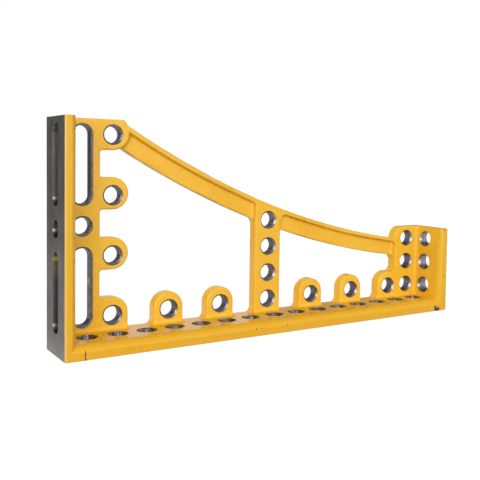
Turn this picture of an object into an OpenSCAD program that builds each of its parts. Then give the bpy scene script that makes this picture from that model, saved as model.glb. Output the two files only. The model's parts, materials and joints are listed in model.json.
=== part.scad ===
// Welding table angle: one casting with a long base, a tall leg at its left end and a short
// wall at its right end. A web along the back carries round eyes, a middle column and a block,
// and a curved rib with a lip ties the top of the tall leg to the block.
// Sizes are in millimetres. The origin is at the middle of the bottom face, and Z is up.

/* [Overall] */
// Length of the base, from outer face to outer face
length = 800; // [700:0.5:1200]
// Width of all three walls, front to back
width = 100; // [84:0.5:140]
// Height of the tall leg
height = 375; // [312:0.5:480]
// Height of the short end wall
end_height = 175; // [160:0.5:210]

/* [Walls] */
// Thickness of the base
base_wall = 24; // [20:0.1:30]
// Thickness of the tall leg's side wall
side_wall = 19; // [16:0.1:24]
// Thickness of the end wall where it meets the base
end_wall_foot = 23; // [18:0.1:28]
// Thickness of the end wall at its top, which is thinner by the casting draft
end_wall_top = 18; // [15:0.1:24]
// Thickness of the web along the back
web_wall = 24; // [20:0.1:30]

/* [Hole system] */
// Diameter of every bore and width of every slot
bore_d = 28; // [23:0.1:34]
// Distance between neighbouring holes
pitch = 50; // [48:0.1:60]
// Distance of the first hole from each machined face
first_hole = 50; // [48:0.1:60]
// Least distance of the last hole from the top of a leg
top_margin = 25; // [24:0.1:32]
// Width of the chamfer on the rims of the holes
bore_chamfer = 3.2; // [0.5:0.1:4]
// Width of the chamfer on the rims in the side walls' outer faces
face_chamfer = 1; // [0.5:0.1:4]

/* [Eyes, columns and block] */
// Radius of the round eyes that carry the web's holes
eye_r = 27; // [23:0.1:30]
// Height of an eye's centre above its hole
eye_lift = 3.2; // [0:0.1:5]
// Radius of the boss where the rib leaves the tall leg
boss_r = 28.8; // [26:0.1:32]
// Distance from the tall leg's row of holes to the inner side of its column
column_side = 29; // [24:0.1:34]
// Half the width of the middle column
middle_half = 27.6; // [24:0.1:32]
// Distance from the end wall's row of web holes to the side of its block
block_side = 31.8; // [26:0.1:34]
// Radius of the block's top corner
block_corner_r = 21; // [12:0.1:26]

/* [Rib] */
// Radius of the rib's curved top edge
rib_r = 1511.2; // [1000:0.1:3000]
// Depth of the rib below its top edge
rib_depth = 37.4; // [28:0.1:42]
// Depth of the lip that runs along the rib's top edge
lip = 8.4; // [6:0.1:14]
// Distance of the rib's band behind the front of the lip
lip_reach = 10; // [7:0.1:13]
// Place of the rib's upper end, to the right of the top eye's hole
rib_start_x = 28.2; // [26:0.1:32]
// Height of the rib's upper end above the top eye's hole
rib_start_z = 14.2; // [10:0.1:16]
// Depth of the rib's lower end below the end wall's top
rib_end_drop = 23.8; // [22:0.1:28]

/* [Cast edges] */
// Radius of the round edges of eyes, columns and block
edge_r = 3.6; // [2:0.1:4.4]
// Radius of the round edges of the rib
rib_edge_r = 2.2; // [1:0.1:2.8]
// Radius of the round bevel along the walls' inner front edges
bevel_r = 15; // [13:0.1:20]
// Depth of that bevel on the base, from its top down to the crease
base_bevel = 11; // [8:0.1:13]
// Depth of that bevel on the two side walls
side_bevel = 8; // [5:0.1:10]
// Radius of the fillet at the foot of eyes, columns and block
foot_r = 7; // [4:0.1:9]
// Radius of the fillet between the web and the side walls
corner_r = 8; // [5:0.1:12]
// Radius of the fillets in the corners of the tall leg's notches
notch_r = 5.2; // [4:0.1:10]
// Radius of the fillets where the rib and an eye meet a column or the block
pocket_r = 8.6; // [6:0.1:10]
// Radius of the fillets where the rib meets the boss and the block's corner
throat_r = 4; // [2:0.1:6]
// Radius of the fillet in the angle under the lip
lip_fillet_r = 3; // [1.6:0.1:4]

/* [Machined faces] */
// Radius on the outer edges of the machined faces
outer_r = 1.6; // [1.6:0.1:5]
// Length of the dressed flat at the top of each side wall
tip_length = 21; // [12:0.1:22]
// Depth of that flat
tip_depth = 1.2; // [0.4:0.1:2]

/* [Hidden] */
$fn = 72;
// Sides of a full turn on the rib's long curves
arc_fn = 1440;
// How far an added fillet reaches into the walls that it joins
bite = 5;
// How far a cutter stands out of the face that it opens
rim = 0.8;
// How far a fillet's curve cuts past the walls that it touches, so that they cross cleanly
slack = 0.02;

left = -length / 2;
right = length / 2;
back = width / 2;
bore_r = bore_d / 2;
// Places in the web are heights above its back face
band_front = web_wall - lip_reach;

// Rows of holes, counted from the lowest
function row_z(row) = first_hole + row * pitch;
function rows_under(top) = floor((top - first_hole) / pitch + 0.001) + 1;
tall_rows = rows_under(height - top_margin);
end_rows = rows_under(end_height - top_margin);
slot_steps = 2;
low_slot = [row_z(0), row_z(slot_steps)];
high_slot = [row_z(tall_rows - 1 - slot_steps), row_z(tall_rows - 1)];
base_holes = floor((length - 2 * first_hole) / pitch + 0.001) + 1;

// Columns of holes in the web, from left to right
tall_x = left + first_hole;
link_x = tall_x + pitch;
end_x = right - first_hole;
eye_step = 2 * pitch;
eye_count = floor((end_x - pitch / 2 - link_x) / eye_step + 0.001) + 1;
function eye_x(i) = link_x + i * eye_step;
middle_eye = floor(eye_count / 2);
middle_x = eye_x(middle_eye);
last_eye_x = eye_x(eye_count - 1);
column_x = tall_x + column_side;
block_x = end_x - block_side;
// The last eye runs into the block, unless the row of eyes ends short of it
eye_in_block = last_eye_x + eye_r > block_x;
// The tall leg has a link to an eye at every other row, and the boss at the top row
link_rows = [for (row = [0:2:tall_rows - 3]) row];
function eye_c(x, row) = [x, row_z(row) + eye_lift];
boss_c = eye_c(link_x, tall_rows - 1);
corner_c = [block_x + block_corner_r, end_height - block_corner_r];

// Circle of the rib's top edge, through the rib's two ends
rib_a = [link_x + rib_start_x, row_z(tall_rows - 1) + rib_start_z];
rib_b = [block_x, end_height - rib_end_drop];
rib_span = rib_b - rib_a;
rib_rise = sqrt(rib_r * rib_r - rib_span * rib_span / 4);
rib_c = (rib_a + rib_b) / 2 + [-rib_span.y, rib_span.x] / norm(rib_span) * rib_rise;
lip_r = rib_r + lip;
low_r = rib_r + rib_depth;
// The rib runs a little into the boss and into the block
rib_from = polar(boss_c + [4, 0] - rib_c);
rib_to = polar(rib_b + [12, 0] - rib_c);
function rib_z(x, r) = rib_c.y - sqrt(r * r - pow(x - rib_c.x, 2));
middle_rows = rows_under(rib_z(middle_x, rib_r) - eye_r);

// Draft of the end wall's inner face
end_draft = atan((end_wall_foot - end_wall_top) / (end_height - base_wall));
function end_face_x(z) = right - end_wall_foot + (z - base_wall) * tan(end_draft);

function polar(p) = atan2(p.y, p.x);
function toward(a) = [cos(a), sin(a)];
// Where a circle of radius r about p and one of radius s about q cross, on the left of p to q
function crossing(p, r, q, s) =
  let (d = norm(q - p), a = (r * r - s * s + d * d) / (2 * d), u = (q - p) / d)
  p + u * a + [-u.y, u.x] * sqrt(r * r - a * a);

// Stands the web's flat outlines up against the back face: the first axis runs along X, the
// second becomes Z, and the third runs forward from the back face.
module upright() {
  translate([0, back, 0]) rotate([90, 0, 0]) children();
}

// Rectangle with round corners
module round_rect(w, h, r) {
  translate([r, 0]) square([w - 2 * r, h]);
  translate([0, r]) square([w, h - 2 * r]);
  for (x = [r, w - r], y = [r, h - r]) translate([x, y]) circle(r);
}

// Section of a concave fillet in the square corner at the origin
module cove(r) {
  difference() {
    translate([-1, -1]) square(r + 1);
    translate([r, r]) circle(r);
  }
}

// Section of a bar of the web between a and b. The end that isn't round is buried in a wall.
module bar_section(a, b, round_a, round_b) {
  translate([a, 0]) round_rect(b - a, web_wall, edge_r);
  if (!round_a) translate([a, 0]) square([edge_r * 2, web_wall]);
  if (!round_b) translate([b - edge_r * 2, 0]) square([edge_r * 2, web_wall]);
}

// Bar of the web that stands on the base
module standing_bar(a, b, top, round_a = true, round_b = true) {
  translate([0, top, 0]) rotate([90, 0, 0]) linear_extrude(top) bar_section(a, b, round_a, round_b);
}

// Bar of the web that lies between two places along X
module lying_bar(x0, x1, a, b, round_a = true, round_b = true) {
  translate([x0, 0, 0]) rotate([90, 0, 90]) linear_extrude(x1 - x0) bar_section(a, b, round_a, round_b);
}

// Disc of the web with round edges, or the sector of it that starts at an angle
module disc(c, r, start = 0, turn = 360) {
  translate(c) rotate([0, 0, start]) rotate_extrude(angle = turn) intersection() {
    translate([-r, 0]) round_rect(2 * r, web_wall, edge_r);
    square([r + 1, web_wall]);
  }
}

// Fillet of radius r about c in a corner of the web, between walls that it touches in the
// directions a and b. It lies between two heights. Where its edges are round like the walls',
// e is their radius.
module web_fillet(c, a, b, r, low = 0, high = web_wall, e = 0) {
  reach = (r + bite) / (1 + cos(b - a));
  difference() {
    translate([0, 0, low]) linear_extrude(high - low)
      polygon([c, c + toward(a) * (r + bite), c + (toward(a) + toward(b)) * reach, c + toward(b) * (r + bite)]);
    if (e > 0) translate(c) rotate_extrude() difference() {
      translate([0, low - 1]) square([r + e, high - low + 2]);
      translate([r, low + e]) square([e + 1, high - low - 2 * e]);
      for (y = [low + e, high - e]) translate([r + e, y]) circle(e);
    }
    else translate([c.x, c.y, low - 1]) cylinder(r = r + slack, h = high - low + 2);
  }
}

// Section of an outer wall. The first axis runs from front to back, the second inward from the
// outer face, and a round bevel takes the inner front edge down to a crease.
module wall_section(wall, bevel) {
  bevel_y = sqrt(pow(bevel_r, 2) - pow(bevel_r - bevel, 2)) - back;
  translate([bevel_y, 0]) square([back - bevel_y, wall]);
  translate([-back, 0]) square([bevel_y + back + 1, wall - bevel]);
  intersection() {
    translate([bevel_y, wall - bevel_r]) circle(bevel_r);
    translate([-back, wall - bevel - 1]) square([bevel_y + back + 1, bevel + 2]);
  }
}

// Blank with the outer edges of the machined faces rounded
module blank(top) {
  intersection() {
    translate([left, -back, 0]) linear_extrude(top) round_rect(length, width, outer_r);
    translate([left, -back, 0]) rotate([90, 0, 90]) linear_extrude(length) round_rect(width, top, outer_r);
    translate([left, back, 0]) rotate([90, 0, 0]) linear_extrude(width) round_rect(length, top, outer_r);
  }
}

module base() {
  translate([left, 0, 0]) rotate([90, 0, 90]) linear_extrude(length) wall_section(base_wall, base_bevel);
}

// Side wall of the tall leg, with the dressed flat at its top
module tall_wall() {
  difference() {
    translate([left, 0, 0]) mirror([1, -1, 0]) linear_extrude(height) wall_section(side_wall, side_bevel);
    translate([left + side_wall - tip_depth, -back - 1, height - tip_length])
      cube([2, width - web_wall - corner_r + 1, tip_length + 1]);
  }
  translate([left + side_wall, back - web_wall, 0]) mirror([0, 1, 0]) linear_extrude(height) cove(corner_r);
}

// Frame of the end wall's inner face: X runs into the wall, and Z up along its draft
module drafted() {
  translate([right - end_wall_foot, 0, base_wall]) rotate([0, end_draft, 0]) children();
}

// Wall at the end of the base, which leans by its draft, with the dressed flat at its top
module end_wall() {
  rise = end_height - base_wall;
  difference() {
    drafted() translate([end_wall_foot, 0, -base_wall]) mirror([1, 0, 0]) mirror([1, -1, 0])
      linear_extrude(end_height + 1) wall_section(end_wall_foot, side_bevel);
    drafted() translate([tip_depth - 2, -back - 1, rise - tip_length])
      cube([2, width - web_wall - corner_r + 1, tip_length + 2]);
  }
  drafted() translate([0, back - web_wall, -base_wall]) rotate([0, 0, 180]) linear_extrude(end_height + 1)
    cove(corner_r);
}

// Fillets along the foot of a bar that stands on the base between x0 and x1
module foot(x0, x1, left_side = true, right_side = true) {
  run_0 = left_side ? x0 + edge_r : x0;
  run_1 = right_side ? x1 - edge_r : x1;
  side = web_wall - edge_r;
  translate([run_0, base_wall, web_wall]) rotate([90, 0, 90]) linear_extrude(run_1 - run_0) cove(foot_r);
  if (left_side) {
    translate([x0, base_wall, 0]) mirror([1, 0, 0]) linear_extrude(side) cove(foot_r);
    foot_corner(run_0, 180);
  }
  if (right_side) {
    translate([x1, base_wall, 0]) linear_extrude(side) cove(foot_r);
    foot_corner(run_1, 270);
  }
}

module foot_corner(x, start) {
  translate([x, base_wall, web_wall - edge_r]) rotate([-90, 0, 0]) rotate([0, 0, start])
    rotate_extrude(angle = 90) translate([edge_r, 0]) cove(foot_r);
}

// Eye that stands on the base, with straight sides below its round top
module base_eye(x) {
  standing_bar(x - eye_r, x + eye_r, eye_c(x, 0).y);
  disc(eye_c(x, 0), eye_r, 0, 180);
}

// Column of the tall leg with its eyes on links, and the boss at the top
module tall_column() {
  intersection() {
    standing_bar(left, column_x, height, round_a = false);
    lying_bar(left, column_x + 1, 0, height, round_a = false);
  }
  for (row = link_rows) link(eye_c(link_x, row));
  base_eye(link_x);
  lying_bar(left, link_x, boss_c.y - boss_r, height);
  intersection() {
    disc(boss_c, boss_r);
    lying_bar(link_x - boss_r, link_x + boss_r + 1, boss_c.y - 2 * boss_r, height);
  }
  notch_x = column_x + notch_r;
  for (row = link_rows) {
    c = eye_c(link_x, row);
    above = row == link_rows[len(link_rows) - 1] ? boss_c.y - boss_r : c.y + eye_step - eye_r;
    web_fillet([notch_x, c.y + eye_r + notch_r], 180, 270, notch_r, e = edge_r);
    web_fillet([notch_x, above - notch_r], 180, 90, notch_r, e = edge_r);
  }
  foot(left + side_wall, link_x + eye_r, left_side = false);
}

// Link from the tall column to an eye
module link(c) {
  lying_bar(left, c.x, c.y - eye_r, c.y + eye_r);
  disc(c, eye_r, -90, 180);
}

// Column in the middle, which runs up into the rib and is cut off by the rib's top edge
module middle_column() {
  intersection() {
    standing_bar(middle_x - middle_half, middle_x + middle_half, rib_z(middle_x - middle_half, rib_r) + 1);
    rib_sweep() translate([rib_r, 0]) round_rect(rib_c.y, web_wall, rib_edge_r);
  }
  foot(middle_x - middle_half, middle_x + middle_half);
}

// Block of the end wall, with a round top corner
module end_block() {
  standing_bar(block_x, right, corner_c.y, round_b = false);
  lying_bar(corner_c.x, right, corner_c.y - block_corner_r, end_height, round_a = false);
  disc(corner_c, block_corner_r, 90, 90);
  foot(eye_in_block ? last_eye_x - eye_r : block_x, right - end_wall_foot, right_side = false);
  if (!eye_in_block) foot(last_eye_x - eye_r, last_eye_x + eye_r);
}

// Sweeps a section along the rib. Its first axis is the distance from the rib's centre.
module rib_sweep() {
  translate(rib_c) rotate([0, 0, rib_from]) rotate_extrude(angle = rib_to - rib_from, $fn = arc_fn) children();
}

// Curved rib: a band with a lip along its top edge
module rib() {
  rib_sweep() {
    translate([rib_r, 0]) round_rect(rib_depth, band_front, rib_edge_r);
    translate([rib_r, 0]) round_rect(lip, web_wall, rib_edge_r);
    translate([lip_r, band_front]) cove(lip_fillet_r);
  }
}

// Fillets between the rib and the side of a column at x. The column lies toward the side that
// facing gives, which is 1 for a column on the right of the fillets and -1 for one on the left.
module rib_meets_side(x, facing) {
  at = facing > 0 ? 0 : 180;
  low_c = [x - facing * pocket_r, rib_z(x - facing * pocket_r, low_r + pocket_r)];
  web_fillet(low_c, at, polar(rib_c - low_c), pocket_r, 0, band_front);
  lip_c = [low_c.x, rib_z(low_c.x, lip_r + pocket_r)];
  web_fillet(lip_c, at, polar(rib_c - lip_c), pocket_r, band_front - bite, web_wall);
  pocket_wall() translate([x, rib_z(x, rib_r), band_front]) mirror([facing > 0 ? 1 : 0, 0, 0]) rotate([90, 0, 0])
    linear_extrude(2 * rib_depth) cove(lip_reach - edge_r);
}

// Keeps what lies over the rib's band
module pocket_wall() {
  intersection() {
    children();
    rib_sweep() translate([rib_r + lip / 2, 0]) square([rib_depth - lip / 2, web_wall]);
  }
}

// Fillets where the rib leaves the boss
module rib_meets_boss() {
  top_c = crossing(rib_c, rib_r - throat_r, boss_c, boss_r + throat_r);
  web_fillet(top_c, polar(boss_c - top_c), polar(top_c - rib_c), throat_r, e = edge_r);
  pocket_wall() translate(boss_c) rotate_extrude() translate([boss_r, band_front]) cove(lip_reach - edge_r);
}

// Fillet where the rib's top meets the block's round corner
module rib_meets_block() {
  top_c = crossing(corner_c, block_corner_r + throat_r, rib_c, rib_r - throat_r);
  web_fillet(top_c, polar(corner_c - top_c), polar(top_c - rib_c), throat_r, rib_edge_r, web_wall - rib_edge_r);
  rib_meets_side(block_x, 1);
}

// Fillet where the last eye meets the block
module eye_meets_block() {
  c = eye_c(last_eye_x, 0);
  x = block_x - pocket_r;
  f = [x, c.y + sqrt(pow(eye_r + pocket_r, 2) - pow(x - c.x, 2))];
  if (eye_in_block) web_fillet(f, 0, polar(c - f), pocket_r);
}

// Cutter for one hole through a wall that lies between 0 and its thickness. The chamfer of the
// rim at 0 has its own width.
module bore(wall, first = bore_chamfer) {
  rotate_extrude() polygon(bore_profile(wall, first));
}

// Cutter for a slot through a wall, whose end centres lie at two places along the second axis
module slot(wall, ends, first) {
  for (y = ends) translate([0, y, 0]) bore(wall, first);
  translate([0, ends[1], 0]) rotate([90, 0, 0]) linear_extrude(ends[1] - ends[0]) {
    polygon(bore_profile(wall, first));
    mirror([1, 0]) polygon(bore_profile(wall, first));
  }
}

function bore_profile(wall, first) = [
  [0, -rim],
  [bore_r + first + rim, -rim],
  [bore_r, first],
  [bore_r, wall - bore_chamfer],
  [bore_r + bore_chamfer + rim, wall + rim],
  [0, wall + rim]
];

// Holes up a wall of the tall leg: a slot, single holes and a slot
module tall_holes(wall, first = bore_chamfer) {
  slot(wall, low_slot, first);
  for (row = [slot_steps + 1:1:tall_rows - 2 - slot_steps]) translate([0, row_z(row), 0]) bore(wall, first);
  slot(wall, high_slot, first);
}

module base_bores() {
  for (i = [0:base_holes - 1]) translate([left + first_hole + i * pitch, 0, 0]) bore(base_wall);
}

module side_bores() {
  translate([left, 0, 0]) rotate([90, 0, 90]) tall_holes(side_wall, face_chamfer);
  for (row = [0:end_rows - 1]) {
    z = row_z(row);
    translate([right, 0, z]) rotate([90, 0, -90]) bore(right - end_face_x(z), face_chamfer);
  }
}

module web_bores() {
  translate([tall_x, 0, 0]) tall_holes(web_wall);
  for (row = [2:2:tall_rows - 3]) translate([link_x, row_z(row), 0]) bore(web_wall);
  translate([link_x, row_z(tall_rows - 1), 0]) bore(web_wall);
  for (i = [0:eye_count - 1]) translate([eye_x(i), row_z(0), 0]) bore(web_wall);
  for (row = [1:middle_rows - 1]) translate([middle_x, row_z(row), 0]) bore(web_wall);
  for (row = [0:end_rows - 1]) translate([end_x, row_z(row), 0]) bore(web_wall);
}

module web() {
  tall_column();
  for (i = [1:eye_count - 1]) if (i != middle_eye) base_eye(eye_x(i));
  for (i = [1:eye_count - 2]) if (i != middle_eye) foot(eye_x(i) - eye_r, eye_x(i) + eye_r);
  middle_column();
  rib();
  rib_meets_boss();
  rib_meets_side(middle_x - middle_half, 1);
  rib_meets_side(middle_x + middle_half, -1);
  rib_meets_block();
  eye_meets_block();
}

module angle_casting() {
  color([0.92, 0.71, 0.22]) difference() {
    union() {
      intersection() {
        blank(height);
        union() {
          base();
          tall_wall();
          upright() web();
        }
      }
      intersection() {
        blank(end_height);
        union() {
          end_wall();
          upright() end_block();
        }
      }
    }
    base_bores();
    side_bores();
    upright() web_bores();
  }
}

angle_casting();
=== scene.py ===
"""Looks of the welding table angle: yellow enamel on a grey iron casting, with machined faces and bores.

The frame is in metres, with the origin at the middle of the bottom face. Places on the casting and the
camera are given in millimetres, and the floor, cards and lamps in metres.
"""

import json
import math
from collections import namedtuple

import bpy
from mathutils import Matrix, Vector

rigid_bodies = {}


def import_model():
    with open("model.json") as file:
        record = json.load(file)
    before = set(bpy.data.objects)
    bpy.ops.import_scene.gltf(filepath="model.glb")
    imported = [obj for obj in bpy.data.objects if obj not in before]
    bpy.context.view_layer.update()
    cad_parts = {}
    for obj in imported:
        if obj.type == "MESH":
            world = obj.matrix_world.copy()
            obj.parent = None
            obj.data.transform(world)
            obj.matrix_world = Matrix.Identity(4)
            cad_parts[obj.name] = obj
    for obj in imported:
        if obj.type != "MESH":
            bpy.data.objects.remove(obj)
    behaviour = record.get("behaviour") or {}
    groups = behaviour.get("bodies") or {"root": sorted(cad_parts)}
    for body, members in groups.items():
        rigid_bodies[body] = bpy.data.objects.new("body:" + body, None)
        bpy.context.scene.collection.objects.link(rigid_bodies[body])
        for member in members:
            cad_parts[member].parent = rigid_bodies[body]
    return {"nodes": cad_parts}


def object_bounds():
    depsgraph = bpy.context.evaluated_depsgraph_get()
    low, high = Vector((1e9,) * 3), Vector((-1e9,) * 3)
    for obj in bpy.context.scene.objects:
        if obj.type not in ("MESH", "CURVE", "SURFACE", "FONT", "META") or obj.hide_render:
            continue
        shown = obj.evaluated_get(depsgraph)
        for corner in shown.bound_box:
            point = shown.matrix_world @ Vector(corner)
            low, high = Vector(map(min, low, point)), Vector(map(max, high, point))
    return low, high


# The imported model, in an empty scene
for old in list(bpy.data.objects):
    bpy.data.objects.remove(old)
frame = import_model()
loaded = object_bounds()

MM = 0.001
X, Y, Z = range(3)

# The casting's ends, from the frame
LEFT = round(loaded[0].x / MM, 3)
RIGHT = round(loaded[1].x / MM, 3)
FRONT = round(loaded[0].y / MM, 3)
BACK = round(loaded[1].y / MM, 3)
# Walls and holes
BASE_WALL = 24.0
WEB_WALL = 24.0
TALL_WALL = 19.0
END_WALL = 23.0
PITCH = 50.0
BORE_R = 14.0
RIM_CHAMFER = 3.2
WEB_FRONT = BACK - WEB_WALL
RIM_R = BORE_R + RIM_CHAMFER
TALL_X = LEFT + PITCH
END_X = RIGHT - PITCH
# Rows of the two upright walls: lowest and highest centre of each hole or slot
TALL_ROWS = [(PITCH * low, PITCH * high) for low, high in ((1, 3), (4, 4), (5, 7))]
END_ROWS = [(PITCH * row, PITCH * row) for row in (1, 2, 3)]
# Holes and slots of each wall: place across it, and the lowest and highest centre
TALL_HOLES = [(0.0, *rows) for rows in TALL_ROWS]
END_HOLES = [(0.0, *rows) for rows in END_ROWS]
BASE_HOLES = [(LEFT + PITCH * count, 0.0, 0.0) for count in range(1, 16)]
WEB_HOLES = (
    [(TALL_X, *rows) for rows in TALL_ROWS]
    + [(TALL_X + PITCH, PITCH * row, PITCH * row) for row in (3, 5, 7)]
    + [(LEFT + PITCH * count, PITCH, PITCH) for count in range(2, 16, 2)]
    + [(0.0, PITCH * row, PITCH * row) for row in (2, 3, 4)]
    + [(END_X, *rows) for rows in END_ROWS]
)

# The photograph's camera: place and sensor in millimetres, turns in radians, sight in metres
PHOTO_SIDE = 480
FOCAL_PX = 739.640
CENTRE_PX = (332.916, 200.042)
CAMERA_AT = (-726.12, -1175.62, 313.60)
CAMERA_YAW = 0.630176
CAMERA_PITCH = -0.052588
CAMERA_ROLL = 0.019848
SENSOR = 36.0
NEAREST = 0.01
FARTHEST = 100.0

# Sockets of the Mix node, by number because their names repeat
MIX_FACTOR = 0
MIX_VALUES = (2, 3)
MIX_COLOURS = (6, 7)
MIXED_VALUE = 0
MIXED_COLOUR = 2


# Shader nodes


def put(material, node, name, value):
    """Sets an input of a node. A value that is a socket is linked to it."""
    if isinstance(value, bpy.types.NodeSocket):
        material.node_tree.links.new(value, node.inputs[name])
    else:
        node.inputs[name].default_value = value


def math_node(material, operation, *values):
    node = material.node_tree.nodes.new("ShaderNodeMath")
    node.operation = operation
    for number, value in enumerate(values):
        put(material, node, number, value)
    return node.outputs[0]


def vector_node(material, operation, *values):
    node = material.node_tree.nodes.new("ShaderNodeVectorMath")
    node.operation = operation
    for number, value in enumerate(values):
        put(material, node, number, value)
    return node


def mix_value(material, factor, low, high):
    """Low where the factor is 0, and high where it is 1."""
    node = material.node_tree.nodes.new("ShaderNodeMix")
    put(material, node, MIX_FACTOR, factor)
    for number, value in zip(MIX_VALUES, (low, high)):
        put(material, node, number, value)
    return node.outputs[MIXED_VALUE]


def layer(material, under, over, mask, amount=1.0):
    """A colour over another where the mask is 1, as strong as the amount."""
    node = material.node_tree.nodes.new("ShaderNodeMix")
    node.data_type = "RGBA"
    put(material, node, MIX_FACTOR, math_node(material, "MULTIPLY", mask, amount))
    for number, colour in zip(MIX_COLOURS, (under, over)):
        plain = not isinstance(colour, bpy.types.NodeSocket)
        put(material, node, number, (*colour, 1) if plain else colour)
    return node.outputs[MIXED_COLOUR]


def step(material, value, start, full):
    """0 at start and before it, 1 at full and past it, and smooth between. Full may be the lower one."""
    node = material.node_tree.nodes.new("ShaderNodeMapRange")
    node.interpolation_type = "SMOOTHSTEP"
    put(material, node, "Value", value)
    put(material, node, "From Min", min(start, full))
    put(material, node, "From Max", max(start, full))
    if full < start:
        put(material, node, "To Min", 1.0)
        put(material, node, "To Max", 0.0)
    return node.outputs[0]


def noise(material, place, scale, detail=3.0, rough=0.55, warp=0.0):
    """Noise with about as many blots to a millimetre as the scale says."""
    node = material.node_tree.nodes.new("ShaderNodeTexNoise")
    put(material, node, "Vector", place)
    put(material, node, "Scale", scale)
    put(material, node, "Detail", detail)
    put(material, node, "Roughness", rough)
    put(material, node, "Distortion", warp)
    return node.outputs[0]


def drawn_noise(material, place, axis, along, across, detail):
    """Noise with one scale along an axis and another across it."""
    scales = [across] * 3
    scales[axis] = along
    node = material.node_tree.nodes.new("ShaderNodeMapping")
    put(material, node, "Vector", place)
    put(material, node, "Scale", scales)
    return noise(material, node.outputs[0], scale=1.0, detail=detail)


def distance(material, place, centre, half_sizes):
    """Distance from a centre, which is 1 on the ellipsoid with these half sizes."""
    away = vector_node(material, "SUBTRACT", place, centre)
    shrunk = vector_node(material, "DIVIDE", away.outputs[0], half_sizes)
    return vector_node(material, "LENGTH", shrunk.outputs[0]).outputs["Value"]


def bump(material, height, depth):
    """A normal tipped by a height, with the depth of the whole relief in millimetres."""
    node = material.node_tree.nodes.new("ShaderNodeBump")
    put(material, node, "Strength", 1.0)
    put(material, node, "Distance", depth * MM)
    put(material, node, "Height", height)
    return node.outputs[0]


def begin(name):
    """A new material with its surface shader, and each point's place and coordinates in millimetres."""
    material = bpy.data.materials.new(name)
    material.use_nodes = True
    surface = material.node_tree.nodes["Principled BSDF"]
    coordinates = material.node_tree.nodes.new("ShaderNodeTexCoord")
    place = vector_node(material, "SCALE", coordinates.outputs["Object"])
    put(material, place, "Scale", 1 / MM)
    parts = material.node_tree.nodes.new("ShaderNodeSeparateXYZ")
    put(material, parts, 0, place.outputs[0])
    return material, surface, place.outputs[0], parts.outputs


def toned(colour, times, most=1.0):
    """The colour with each channel multiplied, up to a limit."""
    return [min(channel * times, most) for channel in colour]


# Materials

YELLOW = (0.860, 0.470, 0.025)
YELLOW_PALE = (0.880, 0.502, 0.034)
# Painted shade: darker yellows for the front faces and the base
YELLOW_FRONT_SHADED = (0.790, 0.436, 0.015)
YELLOW_BASE_SHADED = (0.790, 0.414, 0.014)
ORANGE = (0.740, 0.310, 0.010)
# Painted highlight on the tall leg's machined corner
EDGE_HIGHLIGHT_COLOUR = (0.880, 0.520, 0.150)
# Brown of dirt and painted shade in the creases
DIRT_AND_SHADE = (0.110, 0.060, 0.025)
# Bare iron in the chips, and the same dark for the painted shadow lines
BARE_IRON_AND_SHADOW = (0.060, 0.050, 0.048)
OCHRE = (0.520, 0.420, 0.050)
# Painted highlights in the tall leg's slots and hole
PAINTED_GLINT_GREY = (0.480, 0.465, 0.465)
FACE_STEEL = (0.322, 0.304, 0.298)
# Painted light and shade: the bores are one steel, toned by how much light reaches into them, darkest in
# the tall leg's slots and lightest in the end wall's bores
TALL_STEEL_SHADED = (0.150, 0.138, 0.142)
WEB_STEEL = (0.250, 0.222, 0.230)
BASE_STEEL = (0.230, 0.205, 0.200)
END_STEEL_LIT = (0.300, 0.268, 0.280)

# Stretches where the painted shade and the painted highlight come in: where each starts and where it is
# full
FRONT_FACES = (FRONT + 14.0, FRONT + 2.0)
ABOVE_BASE = (BASE_WALL - 4.0, BASE_WALL + 36.0)
BASE_TOP = (BASE_WALL + 3.0, BASE_WALL + 1.0)
BASE_LENGTH = (END_X, END_X - 4 * PITCH)
HIGHLIGHT_X = (LEFT + 5.0, LEFT + 1.5)
HIGHLIGHT_Y = (FRONT + 10.0, FRONT + 1.0)
# Reach of the painted shade in the creases, in millimetres
CREASE_SHADE_REACH = 5.0
# Roughness of the paint, from and to, and of a chip
PAINT_ROUGH = (0.20, 0.34)
CHIP_ROUGH = 0.65
PAINT_SPECULAR = 0.32
# Relief of the paint: its depth, and the parts in it of the orange peel and of a chip
RELIEF_DEPTH = 0.035
PEEL_PART = 0.04
CHIP_PART = 0.8
# How far noise moves the edge of a chip, as a part of its half sizes
CHIP_RAGGED = 1.3
# Bare metal: tones of clouds and of the painted highlight streaks, and how far the tool marks change the
# roughness
CLOUD_TONE = 0.78
HIGHLIGHT_STREAK_TONE = 3.0
HIGHLIGHT_STREAK_MOST = 0.80
SMOOTHER = 0.07
ROUGHER = 0.09

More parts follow.
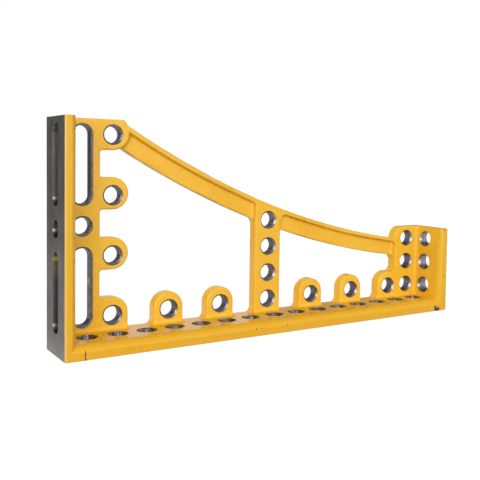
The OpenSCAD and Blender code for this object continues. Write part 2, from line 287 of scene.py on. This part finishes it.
# Places where the paint has gone, and two painted shadow lines at the top of the tall leg: centre, half
# sizes along X, Y and Z
CHIPS_AND_SHADOW_LINES = [
    ((-368.8, FRONT, 8.4), (0.9, 4.0, 7.2)),
    ((-368.4, FRONT, 1.0), (1.6, 4.0, 1.9)),
    ((374.0, FRONT, 4.0), (8.0, 5.0, 4.4)),
    ((369.2, FRONT, 9.2), (2.4, 4.0, 3.2)),
    ((383.0, FRONT, 174.4), (3.2, 4.4, 1.8)),
    ((389.8, FRONT, 172.6), (1.6, 4.0, 1.4)),
    ((-66.6, FRONT, 13.6), (1.4, 2.0, 1.2)),
    ((-56.2, FRONT, 13.4), (1.0, 2.0, 1.0)),
    ((-1.6, FRONT, 13.6), (1.2, 2.0, 1.0)),
    ((391.2, FRONT, 25.2), (1.0, 2.0, 1.4)),
    ((325.8, FRONT, 32.2), (1.4, 3.0, 1.0)),
    ((390.2, FRONT, 74.4), (1.0, 2.0, 1.6)),
    # Painted shadow: a short dark line and a thin dark strip where the tall leg's inner bevel ends at
    # the top
    ((-384.2, FRONT + 2.0, 354.6), (2.0, 5.0, 1.0)),
    ((-383.4, FRONT + 3.0, 362.4), (0.5, 5.0, 8.0)),
    ((-385.2, FRONT + 1.0, 154.6), (1.0, 3.0, 1.4)),
    ((-385.0, FRONT + 1.0, 189.4), (1.4, 4.0, 1.6)),
    ((-302.2, WEB_FRONT, 149.8), (2.2, 3.0, 2.6)),
    ((-293.8, WEB_FRONT, 263.8), (2.4, 3.0, 2.0)),
]
# Overspray in two slots, and painted highlights as bright spots in the tall leg: centre, half sizes,
# colour, strength
OVERSPRAY_AND_HIGHLIGHTS = [
    ((LEFT + 4.0, BORE_R, 152.0), (7.0, 5.0, 4.5), OCHRE, 0.9),
    ((LEFT + 4.0, BORE_R, 136.0), (7.0, 5.0, 20.0), OCHRE, 0.16),
    ((TALL_X + BORE_R, 38.0, 109.0), (4.0, 9.0, 6.0), OCHRE, 0.7),
# Painted highlights: bright spots low in the tall leg's slots and hole
] + [
    ((LEFT + 1.0, BORE_R - 0.5, PITCH * row - 3.0), (3.5, 4.5, 3.5), PAINTED_GLINT_GREY, strength)
    for row, strength in ((5, 0.9), (4, 0.9), (1, 0.7))
]

# Painted light and shade: a change of tone along an axis: where it starts and is full, the colour's
# factor, and its strength
PaintedShading = namedtuple("PaintedShading", "axis start full times amount")


def chip_and_shadow_mask(material, place):
    """1 in the chips and in the painted shadow lines, with ragged edges, and 0 on sound paint."""
    ragged = noise(material, place, scale=0.45, detail=4.0, rough=0.7)
    ragged = math_node(material, "SUBTRACT", ragged, 0.5)
    ragged = math_node(material, "MULTIPLY", ragged, CHIP_RAGGED)
    chipped_and_shadowed = 0.0
    for centre, half_sizes in CHIPS_AND_SHADOW_LINES:
        away = math_node(material, "ADD", distance(material, place, centre, half_sizes), ragged)
        chipped_and_shadowed = math_node(material, "MAXIMUM", chipped_and_shadowed, step(material, away, start=1.12, full=0.92))
    return chipped_and_shadowed


def enamel():
    material, surface, place, parts = begin("yellow_enamel")
    broad = noise(material, place, scale=0.018)
    fine = noise(material, place, scale=0.18, detail=4.0)
    colour = layer(material, YELLOW, YELLOW_PALE, step(material, broad, start=0.38, full=0.62))
    # Painted shade: the front faces are a darker yellow, more orange low down, and so is the base,
    # fading out towards its right end
    front_shade = layer(material, YELLOW_BASE_SHADED, YELLOW_FRONT_SHADED, step(material, parts[Z], *ABOVE_BASE))
    colour = layer(material, colour, front_shade, step(material, parts[Y], *FRONT_FACES))
    low = step(material, parts[Z], *BASE_TOP)
    base_shade = math_node(material, "MULTIPLY", low, step(material, parts[X], *BASE_LENGTH))
    colour = layer(material, colour, YELLOW_BASE_SHADED, base_shade)
    # The coat varies in thickness, so that patches are warmer
    patch = noise(material, place, scale=0.032, detail=4.0, rough=0.6, warp=0.8)
    colour = layer(material, colour, ORANGE, step(material, patch, start=0.52, full=0.74), amount=0.30)
    # Painted highlight: thin pale line along the machined corner of the tall leg
    near = step(material, parts[X], *HIGHLIGHT_X)
    edge_highlight = math_node(material, "MULTIPLY", near, step(material, parts[Y], *HIGHLIGHT_Y))
    colour = layer(material, colour, EDGE_HIGHLIGHT_COLOUR, edge_highlight, amount=0.7)
    # Painted shade: creases are darkened towards orange, and in patches further towards a brown of dirt
    # and painted shade
    crease_occlusion = material.node_tree.nodes.new("ShaderNodeAmbientOcclusion")
    crease_occlusion.samples = 8
    crease_occlusion.only_local = True
    put(material, crease_occlusion, "Distance", CREASE_SHADE_REACH * MM)
    crease_shade = step(material, crease_occlusion.outputs["AO"], start=0.55, full=0.15)
    colour = layer(material, colour, ORANGE, crease_shade, amount=0.60)
    dirt_and_shade = math_node(material, "MULTIPLY", crease_shade, step(material, fine, start=0.60, full=0.78))
    colour = layer(material, colour, DIRT_AND_SHADE, dirt_and_shade, amount=0.22)
    # Chips show bare iron, and the painted shadow lines the same dark
    chipped_and_shadowed = chip_and_shadow_mask(material, place)
    put(material, surface, "Base Color", layer(material, colour, BARE_IRON_AND_SHADOW, chipped_and_shadowed))
    rough = mix_value(material, fine, *PAINT_ROUGH)
    put(material, surface, "Roughness", mix_value(material, chipped_and_shadowed, rough, CHIP_ROUGH))
    put(material, surface, "Specular IOR Level", PAINT_SPECULAR)
    # Orange peel over the grain of the casting, and chips and painted shadow lines below both
    peel = noise(material, place, scale=0.30, detail=1.0, rough=0.4)
    grain = noise(material, place, scale=0.055, detail=2.0, rough=0.5)
    height = math_node(material, "ADD", math_node(material, "MULTIPLY", peel, PEEL_PART), grain)
    lost = math_node(material, "MULTIPLY", chipped_and_shadowed, CHIP_PART)
    height = math_node(material, "SUBTRACT", height, lost)
    put(material, surface, "Normal", bump(material, height, RELIEF_DEPTH))
    return material


def steel(name, axis, colour, rough=0.34, stained=0.55, edge=0.6, marks_to_mm=1.1, depth=0.05,
          stretch=0.85, highlight_streaks=0.0, painted_shading=None):
    """Machined metal with fine tool marks across an axis, and painted highlights as bright streaks along
    it.

    Stains have the colour times stained. Edge tints the glancing light, depth is that of the tool marks
    in millimetres, stretch is how far they draw a highlight out, highlight_streaks is the strength of
    the painted highlight streaks, and painted_shading changes the colour along an axis as painted light
    and shade.
    """
    material, surface, place, parts = begin(name)
    tool = drawn_noise(material, place, axis, along=marks_to_mm, across=0.01, detail=2.0)
    cloud = noise(material, place, scale=0.03)
    stain = noise(material, place, scale=0.2, detail=4.0, rough=0.65)
    tone = layer(material, colour, toned(colour, CLOUD_TONE), step(material, cloud, start=0.3, full=0.7))
    tone = layer(material, tone, toned(colour, stained), step(material, stain, start=0.56, full=0.74))
    # Painted highlights: bright streaks along the bore
    highlight_streak = drawn_noise(material, place, axis, along=0.02, across=0.30, detail=1.0)
    highlight_streak = step(material, highlight_streak, start=0.50, full=0.66)
    tone = layer(material, tone, toned(colour, HIGHLIGHT_STREAK_TONE, HIGHLIGHT_STREAK_MOST), highlight_streak, amount=highlight_streaks)
    # Painted light and shade along an axis
    if painted_shading is not None:
        reach = step(material, parts[painted_shading.axis], painted_shading.start, painted_shading.full)
        tone = layer(material, tone, toned(colour, painted_shading.times), reach, amount=painted_shading.amount)
    # Overspray, and painted highlights as bright spots
    for centre, half_sizes, spot_colour, strength in OVERSPRAY_AND_HIGHLIGHTS:
        near = step(material, distance(material, place, centre, half_sizes), start=1.25, full=0.1)
        tone = layer(material, tone, spot_colour, near, amount=strength)
    put(material, surface, "Base Color", tone)
    put(material, surface, "Metallic", 1.0)
    varied = mix_value(material, tool, rough - SMOOTHER, rough + ROUGHER)
    put(material, surface, "Roughness", varied)
    put(material, surface, "Specular Tint", (edge, edge, edge, 1))
    put(material, surface, "Anisotropic", stretch)
    # The marks run across the axis, so each highlight is drawn out along it
    along = material.node_tree.nodes.new("ShaderNodeCombineXYZ")
    put(material, along, axis, 1.0)
    put(material, surface, "Tangent", along.outputs[0])
    put(material, surface, "Normal", bump(material, tool, depth))
    return material


# Zones of the casting, by the number of their material

PAINT, FACE, TALL_WALL_SLOTS, WEB_BORES, BASE_BORES, END_WALL_BORES = range(6)
# How far in from an outer face its rounded edges reach
EDGE_REACH = 3.5
# Least outward part of a normal on an outer face or its rounded edges
EDGE_TURN = 0.12
# Edges that turn to the front by more than this are painted
FRONT_TURN = 0.2
# A normal with more than this along the axis of a hole belongs to a flat face
FLAT = 0.95
# Slack when a place is compared with a wall or a rim
SLACK = 0.05


def hole_gap(across, up, holes):
    """Distance from the nearest hole or slot axis, in the plane that the holes go through."""
    return min(math.hypot(across - at, max(low - up, 0.0, up - high)) for at, low, high in holes)


def zone(centre, normal):
    """The zone that a face of the casting is in."""
    x, y, z = centre
    for depth, outward in ((x - LEFT, -normal.x), (RIGHT - x, normal.x), (z, -normal.z)):
        if depth < EDGE_REACH and outward > EDGE_TURN and normal.y > -FRONT_TURN:
            return FACE
    for bores, past_wall, turn, across, up, holes in (
        (WEB_BORES, WEB_FRONT - y, normal.y, x, z, WEB_HOLES),
        (TALL_WALL_SLOTS, x - LEFT - TALL_WALL, normal.x, y, z, TALL_HOLES),
        (END_WALL_BORES, RIGHT - END_WALL - x, normal.x, y, z, END_HOLES),
        (BASE_BORES, z - BASE_WALL, normal.z, x, y, BASE_HOLES),
    ):
        if past_wall < SLACK and abs(turn) < FLAT and hole_gap(across, up, holes) < RIM_R - SLACK:
            return bores
    return PAINT


def dress(casting):
    """Gives each face of the casting the material of its zone."""
    materials = {
        PAINT: enamel(),
        # Painted light: the machined faces are lighter towards the bottom, where they mirror the floor
        FACE: steel(
            "machined_face", Y, FACE_STEEL, rough=0.40, stained=0.9, edge=0.3, marks_to_mm=0.35,
            depth=0.008, stretch=0.0, painted_shading=PaintedShading(Z, start=45.0, full=0.0, times=2.0, amount=0.35),
        ),
        # Painted shade: the slots darken deeper in from the outer face
        TALL_WALL_SLOTS: steel(
            "tall_wall_slots", X, TALL_STEEL_SHADED,
            painted_shading=PaintedShading(X, start=LEFT + 1.0, full=LEFT + 6.0, times=0.25, amount=0.7),
        ),
        # Painted shade: the bores darken deeper in behind the web's front
        WEB_BORES: steel(
            "bore_along_y", Y, WEB_STEEL, highlight_streaks=0.25,
            painted_shading=PaintedShading(Y, start=WEB_FRONT + 2.0, full=WEB_FRONT + 4.5, times=0.25, amount=0.4),
        ),
        BASE_BORES: steel("bore_along_z", Z, BASE_STEEL, highlight_streaks=0.7),
        END_WALL_BORES: steel("end_wall_bores", X, END_STEEL_LIT, highlight_streaks=0.25),
    }
    mesh = casting.data
    mesh.materials.clear()
    for number in sorted(materials):
        mesh.materials.append(materials[number])
    for face in mesh.polygons:
        face.material_index = zone(face.center / MM, face.normal)


# Studio, in metres and watts

WHITE = (1, 1, 1, 1)
WORLD_COLOUR = (1.0, 0.985, 0.97, 1)
WORLD_STRENGTH = 0.57
FLOOR_SIDE = 60.0
FLOOR_DROP = 0.0002
FLOOR_COLOUR = (0.24, 0.24, 0.24, 1)
FLOOR_ROUGH = 0.9
FLOOR_GLOW = 0.86
CARD_COLOUR = (0.02, 0.02, 0.02, 1)
CARD_GLOW = 0.22
# Cards: name, middle, width and height, turn
CARDS = [
    ("card_behind", (-2.10, 1.40, 1.80), (3.4, 3.6), (math.pi / 2, 0, 0)),
    ("card_left", (-3.80, 0.70, 1.80), (2.6, 3.6), (math.pi / 2, 0, math.pi / 2)),
    ("card_right", (3.4, 2.4, 1.80), (3.4, 3.6), (math.pi / 2, 0, -math.pi / 4)),
    ("card_above", (0.0, 1.8, 4.6), (10.0, 8.0), (0, 0, 0)),
]
# Lamps: name, place, what it points at, side, power, whether the metal mirrors it
LAMPS = [
    ("key", (-7.0, -10.4, 2.3), (0.1, 0.0, 0.16), 10.0, 1420.0, True),
    ("fill", (2.0, -11.8, 2.5), (0.2, 0.0, 0.10), 8.0, 330.0, True),
    ("side", (-11.5, 5.5, 3.0), (0.0, 0.0, 0.16), 6.0, 240.0, True),
    ("back", (8.0, 9.5, 1.2), (0.0, 0.0, 0.16), 6.0, 760.0, False),
]


def seen_or_mirrored(tree):
    """1 for rays from the camera and for those that a surface mirrors or lets through, 0 for others."""
    path = tree.nodes.new("ShaderNodeLightPath")
    total = path.outputs["Is Camera Ray"]
    for name in ("Is Glossy Ray", "Is Transmission Ray"):
        node = tree.nodes.new("ShaderNodeMath")
        node.operation = "MAXIMUM"
        tree.links.new(total, node.inputs[0])
        tree.links.new(path.outputs[name], node.inputs[1])
        total = node.outputs[0]
    return total


def make_world():
    """A world that is white to look at and lights the object softly."""
    world = bpy.data.worlds.new("studio")
    bpy.context.scene.world = world
    world.use_nodes = True
    tree = world.node_tree
    plain = tree.nodes["Background"]
    plain.inputs["Color"].default_value = WORLD_COLOUR
    plain.inputs["Strength"].default_value = WORLD_STRENGTH
    white = tree.nodes.new("ShaderNodeBackground")
    white.inputs["Color"].default_value = WHITE
    mix = tree.nodes.new("ShaderNodeMixShader")
    tree.links.new(seen_or_mirrored(tree), mix.inputs[0])
    tree.links.new(plain.outputs[0], mix.inputs[1])
    tree.links.new(white.outputs[0], mix.inputs[2])
    tree.links.new(mix.outputs[0], tree.nodes["World Output"].inputs["Surface"])


def make_floor():
    """A floor that is pale to look at and throws little light back at the object."""
    bpy.ops.mesh.primitive_plane_add(size=FLOOR_SIDE, location=(0, 0, -FLOOR_DROP))
    floor = bpy.context.object
    floor.name = "floor"
    material = bpy.data.materials.new("floor_white")
    material.use_nodes = True
    tree = material.node_tree
    surface = tree.nodes["Principled BSDF"]
    surface.inputs["Base Color"].default_value = FLOOR_COLOUR
    surface.inputs["Roughness"].default_value = FLOOR_ROUGH
    surface.inputs["Specular IOR Level"].default_value = 0.0
    glow = tree.nodes.new("ShaderNodeEmission")
    glow.inputs["Color"].default_value = WHITE
    put(material, glow, "Strength", math_node(material, "MULTIPLY", seen_or_mirrored(tree), FLOOR_GLOW))
    both = tree.nodes.new("ShaderNodeAddShader")
    tree.links.new(surface.outputs[0], both.inputs[0])
    tree.links.new(glow.outputs[0], both.inputs[1])
    tree.links.new(both.outputs[0], tree.nodes["Material Output"].inputs["Surface"])
    floor.data.materials.append(material)


def make_cards():
    """Dim cards that the camera doesn't see: the metal mirrors them, and that gives it its darks."""
    material = bpy.data.materials.new("card_dim")
    material.use_nodes = True
    surface = material.node_tree.nodes["Principled BSDF"]
    surface.inputs["Base Color"].default_value = CARD_COLOUR
    surface.inputs["Specular IOR Level"].default_value = 0.0
    surface.inputs["Emission Color"].default_value = WHITE
    surface.inputs["Emission Strength"].default_value = CARD_GLOW
    for name, at, size, turn in CARDS:
        bpy.ops.mesh.primitive_plane_add(size=1, location=at, rotation=turn)
        card = bpy.context.object
        card.name = name
        card.scale = (*size, 1)
        card.data.materials.append(material)
        card.visible_camera = False
        card.visible_diffuse = False
        card.visible_shadow = False


def make_light(name, at, to, side, power, mirrored):
    """A square lamp that points at a place."""
    data = bpy.data.lights.new(name, "AREA")
    data.shape = "SQUARE"
    data.size = side
    data.energy = power
    lamp = bpy.data.objects.new(name, data)
    bpy.context.scene.collection.objects.link(lamp)
    lamp.location = at
    lamp.visible_glossy = mirrored
    lamp.rotation_mode = "QUATERNION"
    lamp.rotation_quaternion = (Vector(to) - Vector(at)).to_track_quat("-Z", "Y")


def make_camera():
    """The photograph's camera. Yaw turns it from Y towards X, pitch lifts it, and roll tilts it."""
    data = bpy.data.cameras.new("photo_camera")
    camera = bpy.data.objects.new("photo_camera", data)
    bpy.context.scene.collection.objects.link(camera)
    ahead = Vector((
        math.sin(CAMERA_YAW) * math.cos(CAMERA_PITCH),
        math.cos(CAMERA_YAW) * math.cos(CAMERA_PITCH),
        math.sin(CAMERA_PITCH),
    ))
    level = Vector((math.cos(CAMERA_YAW), -math.sin(CAMERA_YAW), 0))
    up = level.cross(ahead)
    across = level * math.cos(CAMERA_ROLL) + up * math.sin(CAMERA_ROLL)
    upward = up * math.cos(CAMERA_ROLL) - level * math.sin(CAMERA_ROLL)
    turn = Matrix((across, upward, -ahead)).transposed()
    camera.matrix_world = Matrix.Translation(Vector(CAMERA_AT) * MM) @ turn.to_4x4()
    data.sensor_fit = "HORIZONTAL"
    data.sensor_width = SENSOR
    data.lens = FOCAL_PX * SENSOR / PHOTO_SIDE
    data.shift_x = (PHOTO_SIDE / 2 - CENTRE_PX[0]) / PHOTO_SIDE
    data.shift_y = (CENTRE_PX[1] - PHOTO_SIDE / 2) / PHOTO_SIDE
    data.clip_start = NEAREST
    data.clip_end = FARTHEST
    bpy.context.scene.camera = camera


dress(frame["nodes"]["angle_casting"])
make_world()
make_floor()
make_cards()
for lamp in LAMPS:
    make_light(*lamp)
make_camera()
bpy.context.scene.view_settings.view_transform = "Standard"
